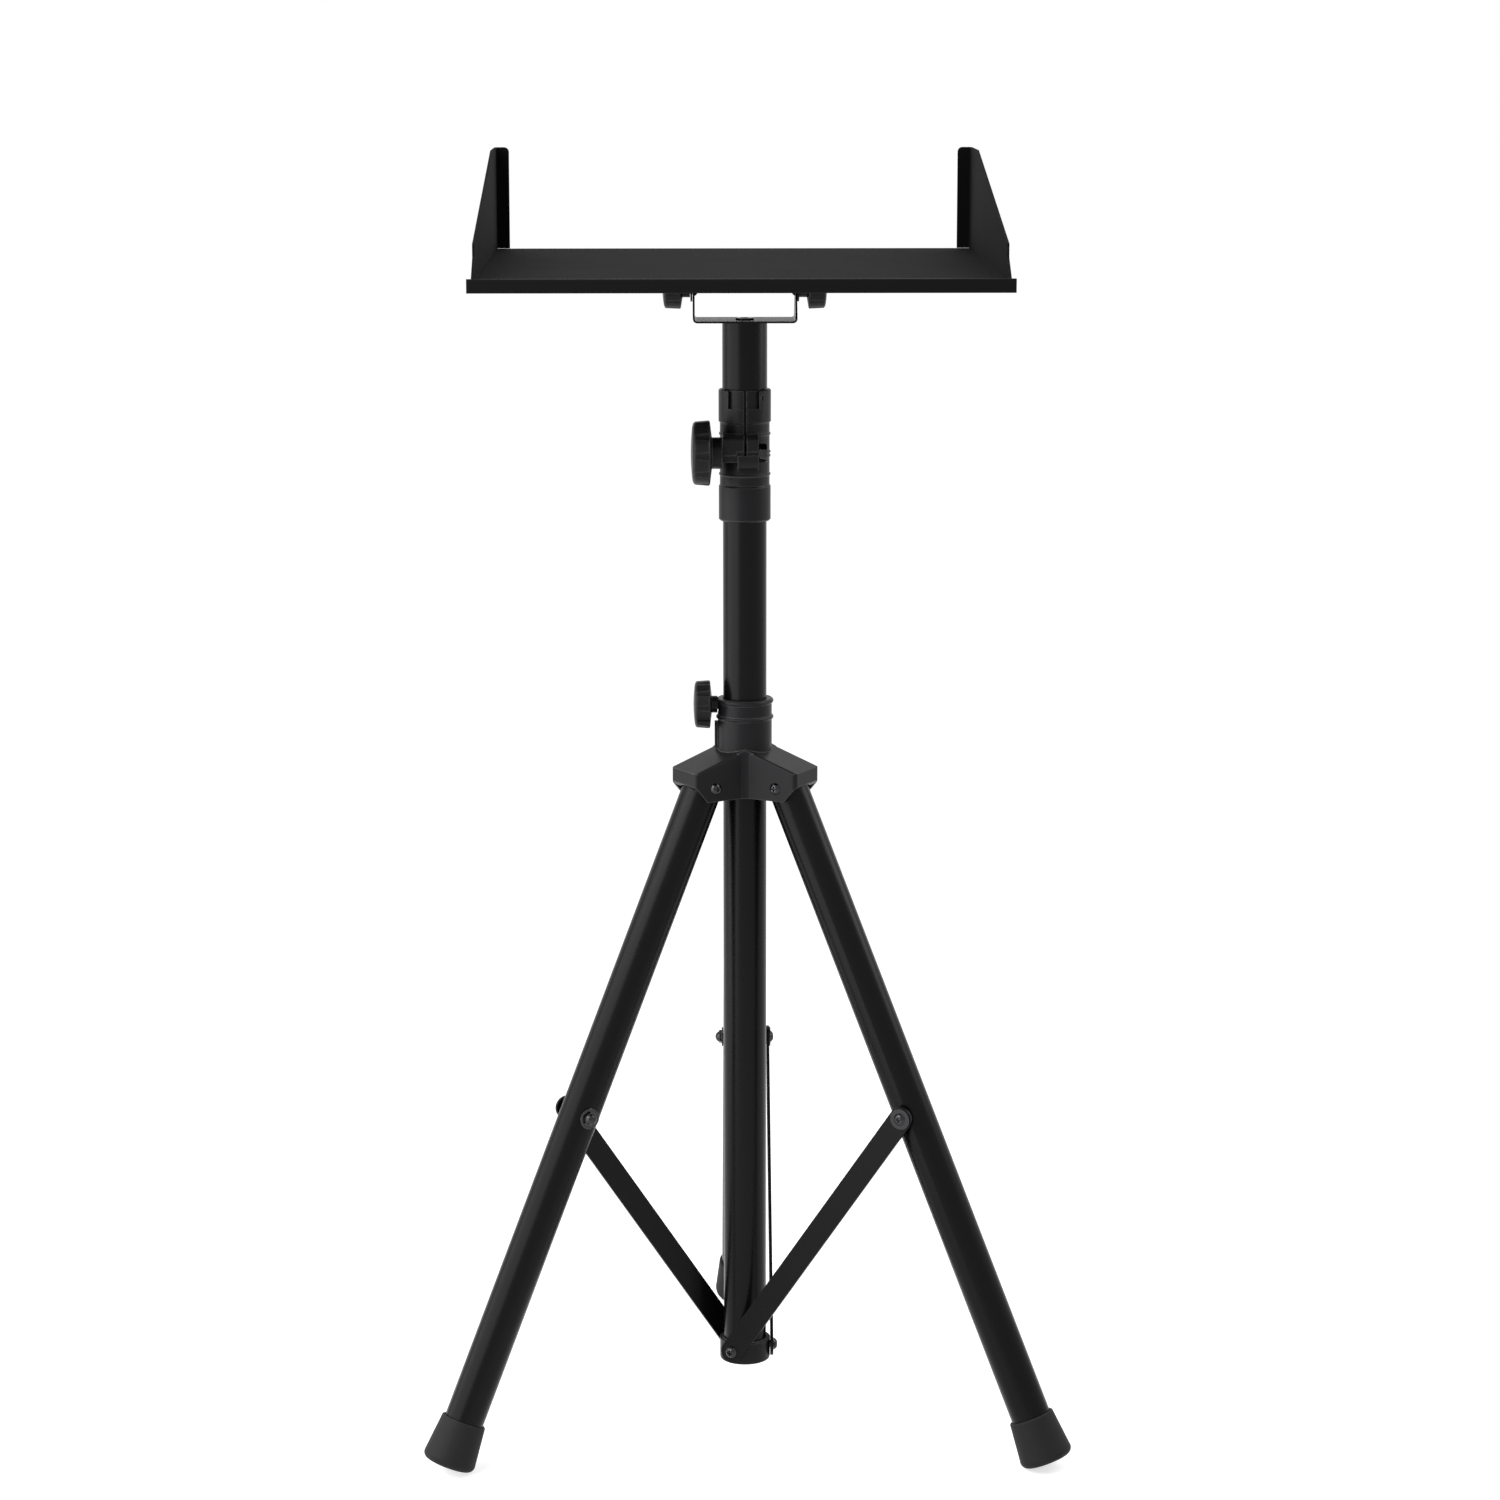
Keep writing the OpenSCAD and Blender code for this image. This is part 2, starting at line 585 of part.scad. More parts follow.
// One arm of the hub: an upside-down channel with a sloping roof and rounded corners
arm_low = hub_h - arm_drop;
arm_top = hub_h + roof_h;
roof_rise = tan(roof_slope);
module under_roof(from_x, width) {
  cut_h = arm_drop + 2.5;
  cut_x = 0.85 * cut_h;
  rotate([90, 0, 0]) linear_extrude(width, center = true)
    polygon([
      [from_x, arm_low], [arm_end - cut_x, arm_low], [arm_end, arm_low + cut_h], [arm_end, arm_top],
      [from_x, arm_top + (arm_end - from_x) * roof_rise]
    ]);
}
module arm_outside() {
  intersection() {
    under_roof(0, 2 * arm_hw);
    translate([0, 0, arm_low - 1]) linear_extrude(2 * arm_end) {
      translate([0, -arm_hw]) square([arm_end - arm_corner, 2 * arm_hw]);
      translate([0, -arm_hw + arm_corner]) square([arm_end, 2 * arm_hw - 2 * arm_corner]);
      for (y = [-1, 1]) translate([arm_end - arm_corner, y * (arm_hw - arm_corner)])
        circle(r = arm_corner, $fn = 48);
    }
    translate([arm_end, 0, arm_top]) rotate([0, -90 + roof_slope, 0])
      linear_extrude(3 * arm_end, center = true) {
        translate([-2 * arm_end, -arm_hw]) square([2 * arm_end - roof_edge, 2 * arm_hw]);
        translate([-2 * arm_end, -arm_hw + roof_edge]) square([2 * arm_end, 2 * arm_hw - 2 * roof_edge]);
        for (y = [-1, 1]) translate([-roof_edge, y * (arm_hw - roof_edge)])
          circle(r = roof_edge, $fn = 48);
      }
  }
}
module arm_inside() {
  under = arm_top - roof_t / cos(roof_slope);
  far = arm_end - arm_end_wall;
  near_z = under + (arm_end - sleeve_r) * roof_rise;
  rotate([90, 0, 0]) linear_extrude(2 * (arm_hw - arm_wall), center = true)
    polygon([
      [0, arm_low - 1], [far, arm_low - 1], [far, under + arm_end_wall * roof_rise],
      [sleeve_r, near_z], [0, near_z]
    ]);
}

// Rounded hollow where the sides of two arms meet
module valley() {
  corner = arm_hw / sin(60);
  slack = 0.4;
  middle = corner + (valley_r - slack) / sin(60);
  touch = valley_r / tan(60);
  intersection() {
    linear_extrude(2 * arm_top) difference() {
      polygon([
        [corner - 1.5, 0], [corner + touch * cos(60) - sin(60), touch * sin(60) + cos(60)],
        [middle, 0], [corner + touch * cos(60) - sin(60), -touch * sin(60) - cos(60)]
      ]);
      translate([middle, 0]) circle(r = valley_r, $fn = 96);
    }
    rotate([0, 0, 60]) under_roof(-arm_end, 4 * arm_end);
    rotate([0, 0, -60]) under_roof(-arm_end, 4 * arm_end);
  }
}

// Hub: a sleeve on the column with three arms that hold the legs
module hub() color([0.09, 0.09, 0.09]) on_axis() {
  sleeve_top = hub_h + sleeve_h;
  sleeve_foot = arm_top - roof_t / cos(roof_slope) + (arm_end - sleeve_r) * roof_rise - 0.5;
  top_ring = 2;
  low_ring = 1.6;
  ring_gap = 13.3;
  rings = [[sleeve_top - top_ring, top_ring], [sleeve_top - top_ring - ring_gap, low_ring]];
  spot_in = 0.4;
  difference() {
    union() {
      difference() {
        union() for (turn = [rear, left, right]) {
          rotate([0, 0, turn]) arm_outside();
          rotate([0, 0, turn + 60]) valley();
        }
        for (turn = [rear, left, right]) rotate([0, 0, turn]) {
          arm_inside();
          along_leg() cylinder(h = arm_end, r = leg_r + 1);
        }
      }
      rotate_extrude() {
        translate([0, sleeve_foot]) square([sleeve_r, sleeve_top - sleeve_foot]);
        for (ring = rings) {
          translate([0, ring[0] - ring[1]]) square([ring_r - ring[1], 2 * ring[1]]);
          translate([ring_r - ring[1], ring[0]]) circle(r = ring[1], $fn = 32);
        }
      }
      // Rib below the knob
      translate([-sleeve_r - rib_out, -rib_w / 2, rings[1][0] - rings[1][1] - rib_h - 2])
        cube([2 * rib_out, rib_w, rib_h]);
    }
    translate([0, 0, arm_low - 1]) cylinder(h = sleeve_top, r = mast_r + slide_gap);
    translate([0, 0, hub_h + hub_knob_z]) rotate([0, -90, 0]) {
      cylinder(h = 2 * ring_r, r = hub_screw_r + pin_gap);
      translate([0, 0, sleeve_r - spot_in]) cylinder(h = ring_r, r = hub_neck_r + slide_gap);
    }
    for (turn = [rear, left, right]) rotate([0, 0, turn]) at_hub_pin() across(3 * arm_hw, pin_r + pin_gap);
  }
}

// Knob with a screw that presses on the column
module hub_knob() color([0.08, 0.08, 0.08]) on_axis()
  translate([0, 0, hub_h + hub_knob_z]) rotate([0, -90, 0]) {
    start = sleeve_r + slide_gap;
    translate([0, 0, mast_r + slide_gap]) cylinder(h = start - mast_r + 1, r = hub_screw_r);
    translate([0, 0, start]) knob(hub_knob_r, hub_knob_t, hub_neck_r, hub_neck_l);
  }

// Bolts through the arms, which the legs turn on
module hub_pin(turn) {
  leg_side(turn) at_hub_pin() {
    across(2 * arm_hw + 1, pin_r);
    for (side = [-90, 90]) rotate([side, 0, 0]) translate([0, 0, arm_hw]) dome_head(pin_head_r, 3.2);
  }
}
module hub_pin_rear() color([0.3, 0.3, 0.3]) hub_pin(rear);
module hub_pin_left() color([0.3, 0.3, 0.3]) hub_pin(left);
module hub_pin_right() color([0.3, 0.3, 0.3]) hub_pin(right);

module leg(turn) {
  leg_side(turn) along_leg() difference() {
    translate([0, 0, -leg_over]) cylinder(h = leg_len + leg_over - foot_floor, r = leg_r);
    translate([0, 0, -leg_over - 1]) cylinder(h = leg_len + leg_over + 2, r = leg_r - leg_wall);
    for (z = [0, brace_at]) translate([0, 0, z]) across(3 * leg_r, pin_r + pin_gap);
  }
}
module leg_rear() color([0.1, 0.1, 0.1]) leg(rear);
module leg_left() color([0.1, 0.1, 0.1]) leg(left);
module leg_right() color([0.1, 0.1, 0.1]) leg(right);

// Flared rubber foot on the leg's end
module foot(turn) {
  leg_side(turn) along_leg() translate([0, 0, leg_len - foot_len]) difference() {
    rotate_extrude() {
      polygon([
        [0, 0.8], [foot_top_r - 0.8, 0], [foot_top_r, 0.8], [foot_r, foot_len - foot_edge],
        [foot_r - foot_edge, foot_len], [0, foot_len]
      ]);
      translate([foot_r - foot_edge, foot_len - foot_edge]) circle(r = foot_edge, $fn = 48);
    }
    translate([0, 0, -1]) cylinder(h = foot_len - foot_floor + 1, r = leg_r + seat_gap);
  }
}
module foot_rear() color([0.04, 0.04, 0.04]) foot(rear);
module foot_left() color([0.04, 0.04, 0.04]) foot(left);
module foot_right() color([0.04, 0.04, 0.04]) foot(right);

// Bolt through the leg: a round head on one side, a spacer towards the brace on the other
module brace_bolt(turn) {
  seat = leg_r + seat_gap;
  leg_side(turn) along_leg() translate([0, 0, brace_at]) rotate([90, 0, 0]) {
    translate([0, 0, -seat - 1]) cylinder(h = seat + 1 + bar_y - slide_gap, r = pin_r);
    translate([0, 0, seat]) cylinder(h = bar_y - slide_gap - seat, r = 6.5);
    mirror([0, 0, 1]) translate([0, 0, seat]) {
      cylinder(h = 1.2, r = 8.5);
      translate([0, 0, 1.2]) cylinder(h = 2.2, r = 6, $fn = 6);
      translate([0, 0, 3.2]) dome_head(pin_head_r, 3.4);
    }
  }
}
module brace_bolt_rear() color([0.3, 0.3, 0.3]) brace_bolt(rear);
module brace_bolt_left() color([0.3, 0.3, 0.3]) brace_bolt(left);
module brace_bolt_right() color([0.3, 0.3, 0.3]) brace_bolt(right);

// Flat bar from the cap to the leg
module brace_bar(turn) {
  leg_side(turn) at_cap_pin() rotate([0, brace_angle, 0]) rotate([90, 0, 0]) translate([0, 0, bar_y])
    difference() {
      linear_extrude(bar_t) {
        for (y = [0, brace_len]) translate([0, y]) circle(r = bar_w / 2);
        translate([-bar_w / 2, 0]) square([bar_w, brace_len]);
      }
      for (y = [0, brace_len]) translate([0, y, -1]) cylinder(h = bar_t + 2, r = pin_r + pin_gap);
    }
}
module brace_bar_rear() color([0.08, 0.08, 0.08]) brace_bar(rear);
module brace_bar_left() color([0.08, 0.08, 0.08]) brace_bar(left);
module brace_bar_right() color([0.08, 0.08, 0.08]) brace_bar(right);

// Washer and round head on the brace's outer face, at the leg
module brace_screw(turn) {
  leg_side(turn) along_leg() translate([0, 0, brace_at]) rotate([90, 0, 0]) {
    translate([0, 0, bar_y + 0.2]) cylinder(h = bar_t, r = pin_r);
    translate([0, 0, bar_y + bar_t]) cylinder(h = 1.2, r = 8.5);
    translate([0, 0, bar_y + bar_t + 1.2]) dome_head(pin_head_r + 0.4, 3);
  }
}
module brace_screw_rear() color([0.3, 0.3, 0.3]) brace_screw(rear);
module brace_screw_left() color([0.3, 0.3, 0.3]) brace_screw(left);
module brace_screw_right() color([0.3, 0.3, 0.3]) brace_screw(right);

tray_plate();
front_strip();
wing_left();
wing_right();
tray_bracket();
tray_bolts();
tilt_fork();
fork_bolt();
tilt_bolt_left();
tilt_bolt_right();
tilt_knob_left();
tilt_knob_right();
socket_tube();
inner_pole();
clamp_collar();
clamp_bolt();
clamp_knob();
mast_tube();
mast_cap();
cap_pin_rear();
cap_pin_left();
cap_pin_right();
hub();
hub_knob();
hub_pin_rear();
hub_pin_left();
hub_pin_right();
leg_rear();
leg_left();
leg_right();
foot_rear();
foot_left();
foot_right();
brace_bolt_rear();
brace_bolt_left();
brace_bolt_right();
brace_bar_rear();
brace_bar_left();
brace_bar_right();
brace_screw_rear();
brace_screw_left();
brace_screw_right();
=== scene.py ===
# %% [markdown]
# # Folding tripod stand: the looks
# The CAD model gives every tube, bracket and knob its true shape. This script loads that model,
# gives each surface a paint, plastic, rubber or steel finish, puts bolts with cross recesses, nuts
# and threads where the CAD model has plain pins, and sets up a white studio with one camera.

# %% Load the CAD frame
import bpy, bmesh, math
from mathutils import Matrix, Vector


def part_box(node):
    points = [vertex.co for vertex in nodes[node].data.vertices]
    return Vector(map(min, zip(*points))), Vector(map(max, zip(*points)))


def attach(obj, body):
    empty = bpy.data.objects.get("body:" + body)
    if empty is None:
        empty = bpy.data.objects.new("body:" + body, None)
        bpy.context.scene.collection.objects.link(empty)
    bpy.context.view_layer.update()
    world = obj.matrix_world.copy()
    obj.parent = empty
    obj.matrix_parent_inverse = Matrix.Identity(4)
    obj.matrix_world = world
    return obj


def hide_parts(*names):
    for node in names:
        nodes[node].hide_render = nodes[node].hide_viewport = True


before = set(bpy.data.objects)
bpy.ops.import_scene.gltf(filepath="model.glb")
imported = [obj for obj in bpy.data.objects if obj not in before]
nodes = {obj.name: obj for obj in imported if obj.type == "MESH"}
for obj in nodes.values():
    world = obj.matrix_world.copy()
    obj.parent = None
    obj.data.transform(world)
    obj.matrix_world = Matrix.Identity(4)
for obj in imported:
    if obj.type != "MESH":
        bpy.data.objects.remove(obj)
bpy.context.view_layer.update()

# %% [markdown]
# The column axis is the reference for everything round it, so its place is read from the model.
# The legs' turns round the column and their lean are in degrees, as in the CAD model.

# %% The column axis and the legs
low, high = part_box("mast_tube")
AXIS_X, AXIS_Y = (low.x + high.x) / 2, (low.y + high.y) / 2
LEGS = {"rear": 90, "left": 210, "right": 330}
LEG_ANGLE = 24.3
MM = 0.001
print("column axis at", round(AXIS_X, 4), round(AXIS_Y, 4))

# %% [markdown]
# ## Shared surface effects
# Real black paint is never one flat black. These node groups hold the small effects that several
# finishes share: the orange peel of powder coat, the grain of moulded plastic, marks from
# handling, dust on faces that look up, and edges coloured a little lighter, which is partly wear
# and partly a painted highlight. Each could be drawn as a picture and wrapped on, but noise needs
# no unwrapping and stays sharp close up.

# %% Helpers for node groups
def new_group(name, inputs, outputs):
    group = bpy.data.node_groups.new(name, "ShaderNodeTree")
    for label, value in inputs.items():
        kind = "NodeSocketColor" if isinstance(value, tuple) else "NodeSocketFloat"
        socket = group.interface.new_socket(name=label, in_out="INPUT", socket_type=kind)
        socket.default_value = value
    for label, kind in outputs.items():
        group.interface.new_socket(name=label, in_out="OUTPUT", socket_type=kind)
    start = group.nodes.new("NodeGroupInput")
    end = group.nodes.new("NodeGroupOutput")
    return group, start, end


def add(tree, kind, settings=None, **values):
    made = tree.nodes.new(kind)
    for label, value in (settings or {}).items():
        setattr(made, label, value)
    for label, value in values.items():
        made.inputs[label.replace("_", " ")].default_value = value
    return made


def join(tree, *pairs):
    for source, target in pairs:
        tree.links.new(source, target)


print("helpers for node groups are ready")

# %% [markdown]
# **Orange peel** is the slightly wavy skin that powder coat gets when it melts. Two sizes of
# noise are added: soft waves about 2 mm wide and a fine tooth. It only tilts the light, since
# real orange peel is far too shallow to model.

# %% Orange peel of powder coat
TOOTH_SHARE = 0.3


def make_orange_peel():
    group, start, end = new_group("Orange peel", {"Wave": 480.0, "Tooth": 2600.0},
                                  {"Height": "NodeSocketFloat"})
    where = add(group, "ShaderNodeTexCoord")
    wave = add(group, "ShaderNodeTexNoise", Detail=1.0, Roughness=0.4)
    tooth = add(group, "ShaderNodeTexNoise", Detail=2.0, Roughness=0.6)
    total = add(group, "ShaderNodeMath", {"operation": "MULTIPLY_ADD"})
    total.inputs[1].default_value = TOOTH_SHARE
    join(group,
         (where.outputs["Object"], wave.inputs["Vector"]),
         (where.outputs["Object"], tooth.inputs["Vector"]),
         (start.outputs["Wave"], wave.inputs["Scale"]),
         (start.outputs["Tooth"], tooth.inputs["Scale"]),
         (tooth.outputs["Fac"], total.inputs[0]),
         (wave.outputs["Fac"], total.inputs[2]),
         (total.outputs[0], end.inputs["Height"]))
    return group


ORANGE_PEEL = make_orange_peel()
print("made", ORANGE_PEEL.name)

# %% [markdown]
# **Moulded grain** is the fine spark-eroded texture of plastic moulds: many small pits of
# different sizes. A cell pattern gives the pits, and noise breaks up its regular look.

# %% Grain of moulded plastic
def make_grain():
    group, start, end = new_group("Moulded grain", {"Cells": 1500.0}, {"Height": "NodeSocketFloat"})
    where = add(group, "ShaderNodeTexCoord")
    cells = add(group, "ShaderNodeTexVoronoi", {"feature": "SMOOTH_F1"})
    noise = add(group, "ShaderNodeTexNoise", Scale=3100.0, Detail=2.0)
    total = add(group, "ShaderNodeMath", {"operation": "MULTIPLY"})
    join(group,
         (where.outputs["Object"], cells.inputs["Vector"]),
         (where.outputs["Object"], noise.inputs["Vector"]),
         (start.outputs["Cells"], cells.inputs["Scale"]),
         (cells.outputs["Distance"], total.inputs[0]),
         (noise.outputs["Fac"], total.inputs[1]),
         (total.outputs[0], end.inputs["Height"]))
    return group


GRAIN = make_grain()
print("made", GRAIN.name)

# %% [markdown]
# **Handling** makes the gloss uneven. Wide soft patches stand for grease and wiping, and small
# patches for scuffs, and both only change the roughness. The two noises average a half each, so
# taking 1 off their sum leaves a change that goes both ways.

# %% Uneven gloss from handling
MEAN_OF_BOTH = 1.0


def make_handling():
    group, start, end = new_group("Handling", {"Roughness": 0.4, "Amount": 0.1},
                                  {"Roughness": "NodeSocketFloat"})
    where = add(group, "ShaderNodeTexCoord")
    wide = add(group, "ShaderNodeTexNoise", Scale=14.0, Detail=3.0)
    small = add(group, "ShaderNodeTexNoise", Scale=160.0, Detail=4.0, Roughness=0.65)
    both = add(group, "ShaderNodeMath", {"operation": "ADD"})
    centred = add(group, "ShaderNodeMath", {"operation": "SUBTRACT"})
    centred.inputs[1].default_value = MEAN_OF_BOTH
    total = add(group, "ShaderNodeMath", {"operation": "MULTIPLY_ADD", "use_clamp": True})
    join(group,
         (where.outputs["Object"], wide.inputs["Vector"]),
         (where.outputs["Object"], small.inputs["Vector"]),
         (wide.outputs["Fac"], both.inputs[0]),
         (small.outputs["Fac"], both.inputs[1]),
         (both.outputs[0], centred.inputs[0]),
         (centred.outputs[0], total.inputs[0]),
         (start.outputs["Amount"], total.inputs[1]),
         (start.outputs["Roughness"], total.inputs[2]),
         (total.outputs[0], end.inputs["Roughness"]))
    return group


HANDLING = make_handling()
print("made", HANDLING.name)

# %% [markdown]
# **Dust** settles on faces that look up. The upward part of the face's direction gives how much
# can lie there, none below LEAST_UP, and noise breaks it into a thin uneven film.

# %% Dust on faces that look up
LEAST_UP = 0.35


def make_dust():
    group, start, end = new_group(
        "Dust", {"Colour": (0.02, 0.02, 0.02, 1.0), "Dust": (0.2, 0.19, 0.18, 1.0), "Amount": 0.05},
        {"Color": "NodeSocketColor"})
    shape = add(group, "ShaderNodeNewGeometry")
    split = add(group, "ShaderNodeSeparateXYZ")
    up = add(group, "ShaderNodeMapRange")
    up.inputs["From Min"].default_value = LEAST_UP
    where = add(group, "ShaderNodeTexCoord")
    film = add(group, "ShaderNodeTexNoise", Scale=55.0, Detail=5.0, Roughness=0.7)
    share = add(group, "ShaderNodeMath", {"operation": "MULTIPLY"})
    amount = add(group, "ShaderNodeMath", {"operation": "MULTIPLY"})
    mix = add(group, "ShaderNodeMix", {"data_type": "RGBA"})
    join(group,
         (shape.outputs["Normal"], split.inputs[0]),
         (split.outputs["Z"], up.inputs["Value"]),
         (where.outputs["Object"], film.inputs["Vector"]),
         (film.outputs["Fac"], share.inputs[0]),
         (up.outputs["Result"], share.inputs[1]),
         (share.outputs[0], amount.inputs[0]),
         (start.outputs["Amount"], amount.inputs[1]),
         (amount.outputs[0], mix.inputs[0]),
         (start.outputs["Colour"], mix.inputs[6]),
         (start.outputs["Dust"], mix.inputs[7]),
         (mix.outputs[2], end.inputs["Color"]))
    return group


DUST = make_dust()
print("made", DUST.name)

# %% [markdown]
# ** Edge wear and highlight** compares the true surface direction with one rounded over by about a
# millimetre. They differ only at edges, so that difference marks where a finish gets a lighter
# edge colour: wear, and on the moulded plastic a painted highlight along its ridges. Above FLAT,
# the cosine between the two, the edge colour is not used, and at SHARP an edge takes all of it.

# %% Lighter edges: wear and painted highlight
FLAT, SHARP = 0.995, 0.85
BEVEL_SAMPLES = 4


# The lighter edge colour stands for wear and, where it is bright, for a painted highlight on edges.
def make_rub_and_highlight():
    group, start, end = new_group(
        "Rubbed edges",
        {"Colour": (0.02, 0.02, 0.02, 1.0), "Rubbed": (0.1, 0.1, 0.1, 1.0), "Amount": 0.5, "Width": 0.0008},
        {"Color": "NodeSocketColor"})
    shape = add(group, "ShaderNodeNewGeometry")
    soft = add(group, "ShaderNodeBevel", {"samples": BEVEL_SAMPLES})
    same = add(group, "ShaderNodeVectorMath", {"operation": "DOT_PRODUCT"})
    edge = add(group, "ShaderNodeMapRange")
    edge.inputs["From Min"].default_value = FLAT
    edge.inputs["From Max"].default_value = SHARP
    where = add(group, "ShaderNodeTexCoord")
    patch = add(group, "ShaderNodeTexNoise", Scale=220.0, Detail=4.0, Roughness=0.7)
    share = add(group, "ShaderNodeMath", {"operation": "MULTIPLY"})
    amount = add(group, "ShaderNodeMath", {"operation": "MULTIPLY"})
    mix = add(group, "ShaderNodeMix", {"data_type": "RGBA"})
    join(group,
         (start.outputs["Width"], soft.inputs["Radius"]),
         (soft.outputs[0], same.inputs[0]),
         (shape.outputs["Normal"], same.inputs[1]),
         (same.outputs["Value"], edge.inputs["Value"]),
         (where.outputs["Object"], patch.inputs["Vector"]),
         (patch.outputs["Fac"], share.inputs[0]),
         (edge.outputs["Result"], share.inputs[1]),
         (share.outputs[0], amount.inputs[0]),
         (start.outputs["Amount"], amount.inputs[1]),
         (amount.outputs[0], mix.inputs[0]),
         (start.outputs["Colour"], mix.inputs[6]),
         (start.outputs["Rubbed"], mix.inputs[7]),
         (mix.outputs[2], end.inputs["Color"]))
    return group


RUB_AND_HIGHLIGHT = make_rub_and_highlight()
print("made", RUB_AND_HIGHLIGHT.name)

# %% [markdown]
# ## Finishes
# One function builds a finish from those effects. It rounds sharp edges a little for the light,
# adds the skin's bumps, and colours the surface by dust and by a lighter edge colour, which is
# wear and, on the moulded plastic, a painted highlight. The sheen is kept low,
# because in an all-white room a full one would turn every black surface grey.

# %% A finish made from the shared effects
def finish(name, colour, rub_and_highlight_colour, roughness, skin, skin_depth, uneven=0.1, dust=0.03, rub_and_highlight_amount=0.5,
           metallic=0.0, round_mm=0.5, rub_and_highlight_mm=0.8, sheen=0.12):
    material = bpy.data.materials.new(name)
    material.use_nodes = True
    tree = material.node_tree
    shader = tree.nodes["Principled BSDF"]
    shader.inputs["Metallic"].default_value = metallic
    shader.inputs["Specular IOR Level"].default_value = sheen
    # The edge colour mixed in here is partly wear and partly a painted highlight.
    edge_wear_and_highlight = add(tree, "ShaderNodeGroup", {"node_tree": RUB_AND_HIGHLIGHT}, Colour=(*colour, 1),
               Rubbed=(*rub_and_highlight_colour, 1), Amount=rub_and_highlight_amount, Width=rub_and_highlight_mm * MM)
    dusty = add(tree, "ShaderNodeGroup", {"node_tree": DUST}, Amount=dust)
    gloss = add(tree, "ShaderNodeGroup", {"node_tree": HANDLING}, Roughness=roughness, Amount=uneven)
    bumps = add(tree, "ShaderNodeGroup", {"node_tree": skin})
    rounded = add(tree, "ShaderNodeBevel", {"samples": BEVEL_SAMPLES}, Radius=round_mm * MM)
    bump = add(tree, "ShaderNodeBump", Strength=0.5, Distance=skin_depth)
    join(tree,
         (edge_wear_and_highlight.outputs["Color"], dusty.inputs["Colour"]),
         (dusty.outputs["Color"], shader.inputs["Base Color"]),
         (gloss.outputs["Roughness"], shader.inputs["Roughness"]),
         (bumps.outputs["Height"], bump.inputs["Height"]),
         (rounded.outputs[0], bump.inputs["Normal"]),
         (bump.outputs[0], shader.inputs["Normal"]))
    return material


print("finishes can be made")

# %% [markdown]
# **Paint.** The tubes and brackets carry a glossy black powder coat. The tray's sheet has a
# duller one, which keeps its raised sides dark even where they are seen almost edge on.

# %% Powder coats of the tubes and of the tray
PAINT = finish("black_powder_coat", (0.0022, 0.0022, 0.0025), rub_and_highlight_colour=(0.03, 0.03, 0.03),
               roughness=0.27, skin=ORANGE_PEEL, skin_depth=0.00005, uneven=0.06, dust=0.01, sheen=0.11)
TRAY_PAINT = finish("tray_powder_coat", (0.003, 0.003, 0.0033), rub_and_highlight_colour=(0.04, 0.04, 0.04),
                    roughness=0.82, skin=ORANGE_PEEL, skin_depth=0.00008, uneven=0.06, dust=0.02,
                    sheen=0.06)
print("made", PAINT.name, "and", TRAY_PAINT.name)

# %% [markdown]
# ** Plastic and rubber.** The hub, collar, cap and knobs are moulded in satin plastic, whose
# rounded edges catch the light. Their edges also get a bright edge colour, a painted highlight
# along the ridges. The strip on the tray's front edge is smoother, and the feet
# are matt rubber that holds dust.

# %% Plastics and rubber
# The bright edge colour here is a painted highlight along the plastic's ridges, with some wear.
PLASTIC = finish("black_moulded_plastic", (0.0065, 0.0065, 0.0075), rub_and_highlight_colour=(0.16, 0.16, 0.165),
                 roughness=0.38, skin=GRAIN, skin_depth=0.00008, rub_and_highlight_amount=0.9, round_mm=1.2, rub_and_highlight_mm=1.3)
STRIP = finish("black_strip_plastic", (0.004, 0.004, 0.004), rub_and_highlight_colour=(0.03, 0.03, 0.03),
               roughness=0.5, skin=GRAIN, skin_depth=0.00005, uneven=0.08, dust=0.01, sheen=0.06)
RUBBER = finish("black_rubber", (0.012, 0.012, 0.012), rub_and_highlight_colour=(0.06, 0.058, 0.055),
                roughness=0.62, skin=GRAIN, skin_depth=0.00012, uneven=0.14, dust=0.08, rub_and_highlight_amount=0.8)
print("made", PLASTIC.name + ",", STRIP.name, "and", RUBBER.name)

# %% [markdown]
# **Steel.** The bolts are blackened steel, polished a little by tools and hands. It is a true
# metal, so its colour tints what it mirrors.

# %% Blackened steel
BOLT = finish("blackened_steel", (0.035, 0.035, 0.037), rub_and_highlight_colour=(0.12, 0.118, 0.115),
              roughness=0.14, skin=ORANGE_PEEL, skin_depth=0.00001, uneven=0.06, dust=0.0, rub_and_highlight_amount=0.8,
              metallic=1.0, round_mm=0.15)
print("made", len(bpy.data.materials), "finishes")

# %% [markdown]
# Each CAD node then gets the finish of what it is made of.

# %% Finishes on the CAD nodes
def coat(material, names):
    for name in names:
        mesh = nodes[name].data
        mesh.materials.clear()
        mesh.materials.append(material)


def by_leg(start):
    return [start + "_" + leg for leg in LEGS]


coat(PAINT, ["mast_tube", "inner_pole", "socket_tube", "tilt_fork", "tray_bracket"])
coat(PAINT, by_leg("leg") + by_leg("brace_bar"))
coat(TRAY_PAINT, ["tray_plate", "wing_left", "wing_right"])
coat(STRIP, ["front_strip"])
coat(PLASTIC, ["hub", "mast_cap", "clamp_collar"])
coat(PLASTIC, ["hub_knob", "clamp_knob", "tilt_knob_left", "tilt_knob_right"])
coat(RUBBER, by_leg("foot"))
coat(BOLT, by_leg("hub_pin") + by_leg("cap_pin") + by_leg("brace_bolt") + by_leg("brace_screw"))
coat(BOLT, ["clamp_bolt", "fork_bolt", "tilt_bolt_left", "tilt_bolt_right", "tray_bolts"])
print("coated", sum(1 for o in nodes.values() if o.data.materials), "nodes")

